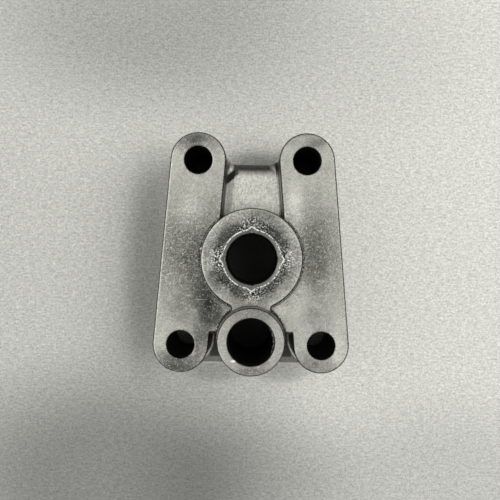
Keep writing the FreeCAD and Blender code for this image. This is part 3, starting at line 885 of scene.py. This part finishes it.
@dataclass(frozen=True)
class SheetFinish:
    """Satin grey sheet with a fine brushed grain, painted shade towards its edges, and painted shadows
    beside and under the part. Lengths in millimetres.
    """

    colour: Colour = (0.485, 0.485, 0.455)
    roughness: float = 0.7
    base_value: float = -0.30
    grain_share: float = 1.70
    brush_share: float = 0.65
    speck_share: float = 0.30
    # how dark the painted shadow under the part is
    under_part_shadow: float = 0.95
    # painted shade, darkest to the left on the tube's side, and painted shadows of the part beside it
    painted_shade: tuple[Patch, ...] = (
        Patch((-50.0, -88.0), (75.0, 45.0), -0.58),
        Patch((-40.0, 95.0), (70.0, 40.0), -0.25),
        Patch((0.0, -88.0), (45.0, 32.0), -0.13),
        Patch((75.0, -90.0), (55.0, 35.0), -0.20),
        Patch((0.0, 80.0), (90.0, 40.0), -0.14),
        Patch((0.0, 33.5), (10.0, 5.0), -0.40),
        Patch((-40.0, -6.0), (9.0, 38.0), -0.30),
        Patch((13.0, -45.5), (11.0, 4.0), -0.25),
        Patch((-13.0, -45.5), (11.0, 4.0), -0.20),
    )

    def material(self) -> bpy.types.Material:
        """Build the material, which is clear when seen from below.

        Returns:
            The material.
        """
        material, graph = new_material("table_sheet")
        inputs = {"Base Color": self.brushed(graph), "Roughness": self.roughness}
        sheet = graph.node("ShaderNodeBsdfPrincipled", None, inputs)
        clear = graph.node("ShaderNodeBsdfTransparent")
        shaders = {"Shader": sheet.outputs["BSDF"], "Shader_001": clear.outputs["BSDF"]}
        mixed = graph.node("ShaderNodeMixShader", None, {"Fac": self.below(graph), **shaders})
        graph.finish(mixed.outputs[0])
        return material

    def brushed(self, graph: Graph) -> Signal:
        """Colour of the sheet.

        Args:
            graph: Graph of the material.

        Returns:
            The colour with its grain, its painted shade and shadows, and a painted shadow under the part.
        """
        place = graph.millimetres()
        x, y, _ = graph.split(place)
        brush = graph.streaks(place, 1.6, 0.5, Axis.X)
        grain = graph.noise(place, 1.3, 3.0, 0.8)
        speck = graph.noise(place, 0.45, 2.0, 0.6)
        # painted shadow under the part, which shows through its bores
        shadow_under_part = x.band(-20.0, 20.0, 1.0) * y.band(-36.0, 27.0, 1.0)
        shadow_under_part = shadow_under_part + abs(x).band(12.0, 24.0, 1.0) * y.band(26.0, 35.0, 1.0)
        value = self.base_value + grain * self.grain_share + brush * self.brush_share
        value = (value + speck * self.speck_share) * (1 - shadow_under_part * self.under_part_shadow)
        shade = 1.0
        for patch in self.painted_shade:
            shade = patch.mask(graph, x, y, 0.0) * patch.strength + shade
        return graph.shade(self.colour, value * shade)

    def below(self, graph: Graph) -> Signal:
        """Mask of views from below.

        Args:
            graph: Graph of the material.

        Returns:
            1 on the back as the camera sees it, and on all that is met after a clear sheet.
        """
        path = graph.node("ShaderNodeLightPath")
        back = Signal(graph, graph.node("ShaderNodeNewGeometry").outputs["Backfacing"])
        passed = Signal(graph, path.outputs["Transparent Depth"]).step(0.4, 0.6)
        return graph.math("MAXIMUM", back * Signal(graph, path.outputs["Is Camera Ray"]), passed)


@dataclass(frozen=True)
class CardFinish:
    """Dull black card."""

    colour: Colour = (0.01, 0.01, 0.01)

    def material(self) -> bpy.types.Material:
        """Build the material.

        Returns:
            The material.
        """
        material, graph = new_material("dark_card")
        shader = graph.node("ShaderNodeBsdfDiffuse", None, {"Color": rgba(self.colour)})
        graph.finish(shader.outputs["BSDF"])
        return material


def add_object(name: str, data: bpy.types.ID) -> bpy.types.Object:
    """Put new data into the scene as an object.

    Args:
        name: Name of the object.
        data: Its mesh, lamp or camera.

    Returns:
        The object.
    """
    piece = bpy.data.objects.new(name, data)
    bpy.context.scene.collection.objects.link(piece)
    return piece


def tube_mesh(name: str, grid: np.ndarray, closed: bool = True) -> bpy.types.Mesh:
    """Swept surface from a grid of points.

    Args:
        name: Name of the mesh.
        grid: Points of shape (around, across, 3) in millimetres. The section closes on itself.
        closed: Whether the path closes on itself too; if not, its two ends are capped.

    Returns:
        The mesh, in metres, with smooth faces.
    """
    rows, columns = grid.shape[:2]
    number = np.arange(rows * columns).reshape(rows, columns)
    here = number if closed else number[:-1]
    ahead = np.roll(number, -1, axis=0) if closed else number[1:]
    corners = (here, ahead, np.roll(ahead, -1, axis=1), np.roll(here, -1, axis=1))
    faces = np.stack(corners, axis=-1).reshape(-1, 4).tolist()
    if not closed:
        faces += [number[0].tolist(), number[-1, ::-1].tolist()]
    mesh = bpy.data.meshes.new(name)
    mesh.from_pydata((grid.reshape(-1, 3) * MILLIMETRE).tolist(), [], faces)
    mesh.polygons.foreach_set("use_smooth", np.ones(len(faces), bool))
    return mesh


def flat_sheet(name: str, centre: Place, half_width: float, half_depth: float) -> bpy.types.Object:
    """Level rectangle that faces up: centre plus and minus its half sizes. Lengths in metres.

    Args:
        name: Name of the piece.
        centre: Its middle.
        half_width: Half its size to the right.
        half_depth: Half its size away from the tube.

    Returns:
        The new object.
    """
    signs = np.array([(-1, -1, 0), (1, -1, 0), (1, 1, 0), (-1, 1, 0)], float)
    corners = signs * (half_width, half_depth, 0) + centre
    mesh = bpy.data.meshes.new(name)
    mesh.from_pydata(corners.tolist(), [], [(0, 1, 2, 3)])
    return add_object(name, mesh)


def fasten(name: str, mesh: bpy.types.Mesh, metal: bpy.types.Material) -> None:
    """Put a burr into the scene, dressed, on the casting's body.

    Args:
        name: Name of the piece.
        mesh: Its mesh.
        metal: Its material.
    """
    mesh.materials.append(metal)
    piece = add_object(name, mesh)
    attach(piece, BODY)
    LOG.info("%s: %d faces", name, len(mesh.polygons))


@dataclass
class Casting:
    """The housing itself, kept as packed and dressed with its finish."""

    layout: Layout

    def make(self) -> None:
        """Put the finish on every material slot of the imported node."""
        node = frame["nodes"][NODE]
        material = CastFinish().material(self.layout)
        if not node.material_slots:
            node.data.materials.append(material)
        for slot in node.material_slots:
            slot.material = material
        LOG.info("%s: dressed, %d faces", NODE, len(node.data.polygons))


@dataclass
class MouthBurr:
    """Beaded burr along the mouth of the main bore and its four staked notches. Lengths in millimetres."""

    layout: Layout
    metal: bpy.types.Material
    mouth_radius: float = 9.6
    notch_slope: float = 0.70
    half_width: float = 0.21
    height: float = 0.20
    beads: int = 88
    around: int = 880
    across: int = 8

    def path(self, angle: np.ndarray) -> np.ndarray:
        """Radius of the mouth: the circle, or the pointed notch where that reaches further.

        A notch side is a straight line, reach minus slope times the distance from its centre line, which in
        polar form is reach / (cos + slope * |sin|) of the angle from the nearest notch.

        Args:
            angle: Angles about the bore's axis, in radians.

        Returns:
            The radius at each angle.
        """
        quarter = math.pi / 2
        offset = (angle + quarter / 2) % quarter - quarter / 2
        notch = self.layout.mouth_reach / (np.cos(offset) + self.notch_slope * np.abs(np.sin(offset)))
        return np.maximum(self.mouth_radius, notch)

    def make(self) -> None:
        """Sweep a small oval section along the path, raised and lowered in beads.

        Point = centre + (radius + width * cos v) outwards, face height + height * bead * sin v upwards. Bead
        is a constant plus a share of |sin| with one hump for each bead, plus a slow ripple of two sines.
        """
        u = np.linspace(0, 2 * math.pi, self.around, endpoint=False)[:, None]
        v = np.linspace(0, 2 * math.pi, self.across, endpoint=False)[None, :]
        bead = 0.45 + 0.35 * np.abs(np.sin(u * self.beads / 2)) + 0.20 * np.sin(u * 7 + 1.3) * np.sin(u * 17)
        radius = self.path(u) + self.half_width * (0.6 + 0.5 * bead) * np.cos(v)
        height = self.layout.boss_height + self.height * bead * np.sin(v)
        x = self.layout.main_bore[0] + radius * np.cos(u)
        y = self.layout.main_bore[1] + radius * np.sin(u)
        fasten("mouth_burr", tube_mesh("mouth_burr", np.stack([x, y, height], axis=-1)), self.metal)


@dataclass
class BoreFlash:
    """Thin jagged flash left on the wall of the tube's bore, on its right side. Millimetres and degrees."""

    layout: Layout
    metal: bpy.types.Material
    start: float = -32.0
    end: float = 44.0
    low: float = 28.2
    high: float = 30.4
    reach: float = 0.55
    sink: float = 0.02
    around: int = 240
    across: int = 24

    def make(self) -> None:
        """Sweep a flat section along the wall, standing in from it by a jagged depth.

        Depth = reach * window(angle) * (sum of sine waves of the angle, kept between 0.05 and 1). The
        section is an ellipse of that depth, whose height narrows with it, sunk a little into the wall.
        """
        u = np.radians(np.linspace(self.start, self.end, self.around))[:, None]
        v = np.linspace(0, 2 * math.pi, self.across, endpoint=False)[None, :]
        share = (u - u[0]) / (u[-1] - u[0])
        waves = 0.45 + 0.30 * np.sin(23 * u + 0.6) + 0.25 * np.sin(57 * u) * np.sin(11 * u)
        waves = waves + 0.20 * np.sin(101 * u)
        depth = self.reach * np.sin(math.pi * share) ** 0.5 * np.clip(waves, 0.05, 1.0)
        middle = (self.low + self.high) / 2 + 0.35 * np.sin(9 * u)
        radius = self.layout.tube_bore_radius - depth * (0.5 + 0.5 * np.cos(v)) + self.sink
        height = middle + (self.high - self.low) * 0.30 * (0.3 + depth / self.reach) * np.sin(v)
        x = self.layout.tube_bore[0] + radius * np.cos(u)
        y = self.layout.tube_bore[1] + radius * np.sin(u)
        points = np.stack([x, y, height], axis=-1)
        fasten("bore_flash", tube_mesh("bore_flash", points, closed=False), self.metal)


@dataclass
class Table:
    """Grey table top that the casting lies on. Lengths in metres."""

    half_width: float = 1.6
    drop: float = 0.00005

    def make(self) -> None:
        """Lay one flat square just under the lowest point of the part."""
        top = CAD_BOX[0][2] - self.drop
        table = flat_sheet("table_top", (0.0, 0.0, top), self.half_width, self.half_width)
        table.data.materials.append(SheetFinish().material())
        LOG.info("table_top: one square, %.2f m wide", 2 * self.half_width)


@dataclass
class Studio:
    """Soft band of light overhead, one large lamp, and a dark card above the part. Metres and degrees."""

    dim_glow: float = 0.10
    low_glow: float = 0.55
    band_glow: float = 0.85
    band_full: float = 18.0
    band_edge: float = 48.0
    side_share: float = 0.6
    left_boost: float = 1.2
    lamp_place: Place = (0.45, 0.12, 0.50)
    lamp_size: float = 0.60
    lamp_power: float = 4.6
    card_height: float = 0.195
    card_place: float = -0.006
    card_half_width: float = 0.066
    card_half_depth: float = 0.026

    def make(self) -> None:
        """Set the world, the lamp and the card."""
        self.light_dome()
        self.hang_lamp()
        self.hang_card()
        LOG.info("studio: world, lamp and card")

    def light_dome(self) -> None:
        """World with the glow of the studio, and a plain pale backdrop where the camera sees it."""
        world = bpy.data.worlds.new("studio")
        bpy.context.scene.world = world
        world.use_nodes = True
        graph = Graph(world.node_tree)
        glow = {"Color": (1, 1, 0.985, 1), "Strength": self.glow(graph)}
        light = graph.node("ShaderNodeBackground", None, glow)
        pale = graph.node("ShaderNodeBackground", None, {"Color": (0.8, 0.8, 0.79, 1), "Strength": 1.0})
        seen = graph.node("ShaderNodeLightPath").outputs["Is Camera Ray"]
        shaders = {"Fac": seen, "Shader": light.outputs[0], "Shader_001": pale.outputs[0]}
        mixed = graph.node("ShaderNodeMixShader", None, shaders)
        graph.finish(mixed.outputs[0], "ShaderNodeOutputWorld")

    def glow(self, graph: Graph) -> Signal:
        """Strength of the glow: a band from side to side overhead, dim front and back, soft low down.

        Args:
            graph: Graph of the world.

        Returns:
            The strength by direction, stronger at the left for what metal mirrors.
        """
        direction = graph.node("ShaderNodeTexCoord").outputs["Generated"]
        across, along, height = graph.split(Signal(graph, direction))
        edge, full = (math.sin(math.radians(angle)) for angle in (self.band_edge, self.band_full))
        band = abs(along).step(edge, full)
        mirrored = Signal(graph, graph.node("ShaderNodeLightPath").outputs["Is Glossy Ray"])
        rise = self.side_share + height.step(0.0, 0.9) * (1 - self.side_share)
        rise = rise + across.step(-0.25, -0.7) * mirrored * self.left_boost
        low = height.step(0.80, 0.35) * (1 - band)
        return self.dim_glow + band * rise * self.band_glow + low * self.low_glow

    def hang_lamp(self) -> None:
        """Round area lamp aimed at the part; metal doesn't mirror it."""
        lamp = bpy.data.lights.new("side_lamp", "AREA")
        lamp.shape = "DISK"
        lamp.size = self.lamp_size
        lamp.energy = self.lamp_power
        piece = add_object("side_lamp", lamp)
        piece.visible_glossy = False
        piece.location = self.lamp_place
        piece.rotation_euler = (-piece.location).to_track_quat("-Z", "Y").to_euler()

    def hang_card(self) -> None:
        """Dark card that the bright faces mirror; the camera looks through it."""
        centre = (self.card_place, 0.0, self.card_height)
        card = flat_sheet("dark_card", centre, self.card_half_width, self.card_half_depth)
        card.data.materials.append(CardFinish().material())
        card.visible_camera = False


@dataclass
class Camera:
    """Camera straight above the part. Lengths in metres, angles in degrees."""

    nadir: Point = (-0.00059, 0.00089)
    height: float = 0.190
    roll: float = 0.65
    lens: float = 36.0
    sensor: float = 36.0

    def make(self) -> None:
        """Place the camera and make it the scene's own."""
        data = bpy.data.cameras.new("camera")
        data.lens = self.lens
        data.sensor_width = self.sensor
        data.clip_start = 0.01
        camera = add_object("camera", data)
        camera.location = (*self.nadir, self.height)
        camera.rotation_euler = (0.0, 0.0, math.radians(self.roll))
        bpy.context.scene.camera = camera


def main() -> None:
    """Build the scene in order and report each piece."""
    logging.basicConfig(level=logging.INFO, format="%(name)s: %(message)s")
    bpy.context.scene.view_settings.view_transform = "Standard"
    Camera().make()
    Table().make()
    Studio().make()
    layout = Layout()
    metal = BareMetal().material(layout)
    Casting(layout).make()
    MouthBurr(layout, metal).make()
    BoreFlash(layout, metal).make()


if __name__ == "__main__":
    main()
